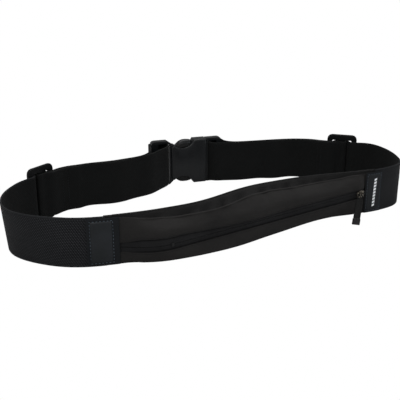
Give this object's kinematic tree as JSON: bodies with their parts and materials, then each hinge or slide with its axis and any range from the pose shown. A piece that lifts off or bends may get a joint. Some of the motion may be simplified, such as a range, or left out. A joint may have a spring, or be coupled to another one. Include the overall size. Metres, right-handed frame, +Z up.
{
  "type": "money belt",
  "caption": "Slim webbing waist belt with a zipped front pouch, slide adjusters and a side-release buckle.",
  "frame": {"origin": "centre of the plan of the closed belt, on the surface it stands on", "axes": "+X along the belt's long side towards the closed end of the zip, +Y from the pouch towards the buckle, +Z up across the webbing's width"},
  "size_m": [0.3642, 0.1882, 0.05],
  "materials": {
    "webbing": "matt weave",
    "pouch_fabric": "soft stretch knit",
    "zip_tape": "woven tape",
    "zip_coil": "satin nylon",
    "slider_enamel": "black enamel",
    "pull_rubber": "satin",
    "patch_rubber": "smooth coated",
    "hard_plastic": "moulded satin"
  },
  "bodies": {
    "belt": {"pouch_back_panel": "pouch_fabric", "pouch_top_gusset": "pouch_fabric", "pouch_front_upper_panel": "pouch_fabric", "pouch_front_lower_panel": "pouch_fabric", "zipper_tape_upper": "zip_tape", "zipper_tape_lower": "zip_tape", "zipper_coil_upper": "zip_coil", "zipper_coil_lower": "zip_coil", "zipper_top_stop_upper": "slider_enamel", "zipper_top_stop_lower": "slider_enamel", "zipper_bottom_stop": "slider_enamel", "patch_left": "patch_rubber", "patch_right": "patch_rubber", "strap_left": "webbing", "strap_right": "webbing", "buckle_female": "hard_plastic"},
    "buckle_plug": {"buckle_male": "hard_plastic"},
    "prong_upper": {"buckle_prong_upper": "hard_plastic"},
    "prong_lower": {"buckle_prong_lower": "hard_plastic"},
    "zip_slider": {"zipper_slider": "slider_enamel"},
    "pull_link": {"zipper_pull_link": "slider_enamel"},
    "pull_tab": {"zipper_pull_tab": "pull_rubber"},
    "slide_left": {"adjuster_left": "hard_plastic"},
    "slide_right": {"adjuster_right": "hard_plastic"}
  },
  "joints": [
    {"name": "buckle_release", "type": "slide", "parent": "belt", "child": "buckle_plug", "axis": [0.9836, -0.1805, 0], "range_m": [0, 0.036], "deforming": ["strap_right", "buckle_prong_upper", "buckle_prong_lower"]},
    {"name": "prong_upper_squeeze", "type": "hinge", "parent": "buckle_plug", "child": "prong_upper", "pos_m": [0.03518, 0.07882, 0.0329], "axis": [-0.1805, -0.9836, 0], "range_deg": [0, 9], "stiffness_Nm_per_rad": 0.6},
    {"name": "prong_lower_squeeze", "type": "hinge", "parent": "buckle_plug", "child": "prong_lower", "pos_m": [0.03518, 0.07882, 0.0149], "axis": [0.1805, 0.9836, 0], "range_deg": [0, 9], "stiffness_Nm_per_rad": 0.6},
    {"name": "zip_slide", "type": "slide", "parent": "belt", "child": "zip_slider", "axis": [-0.9976, -0.062, -0.031], "range_m": [0, 0.183], "deforming": ["pouch_front_upper_panel", "pouch_front_lower_panel", "pouch_top_gusset", "zipper_tape_upper", "zipper_tape_lower", "zipper_coil_upper", "zipper_coil_lower"]},
    {"name": "pull_link_swing", "type": "hinge", "parent": "zip_slider", "child": "pull_link", "pos_m": [0.11469, -0.07558, 0.02052], "axis": [-0.0309, -0.0019, 0.9995], "range_deg": [-16, 110]},
    {"name": "pull_tab_lift", "type": "hinge", "parent": "pull_link", "child": "pull_tab", "pos_m": [0.1111, -0.07876, 0.0204], "axis": [-0.6631, 0.7483, -0.0191], "range_deg": [0, 60]},
    {"name": "adjuster_left_slide", "type": "slide", "parent": "belt", "child": "slide_left", "axis": [0.8711, 0.4912, 0], "range_m": [0, 0.03], "deforming": ["strap_left"]},
    {"name": "adjuster_right_slide", "type": "slide", "parent": "belt", "child": "slide_right", "axis": [-0.7181, 0.696, 0], "range_m": [0, 0.012], "deforming": ["strap_right"]}
  ],
  "couplings": [
    {"joint": "prong_lower_squeeze", "follows": "prong_upper_squeeze", "ratio": 1}
  ]
}
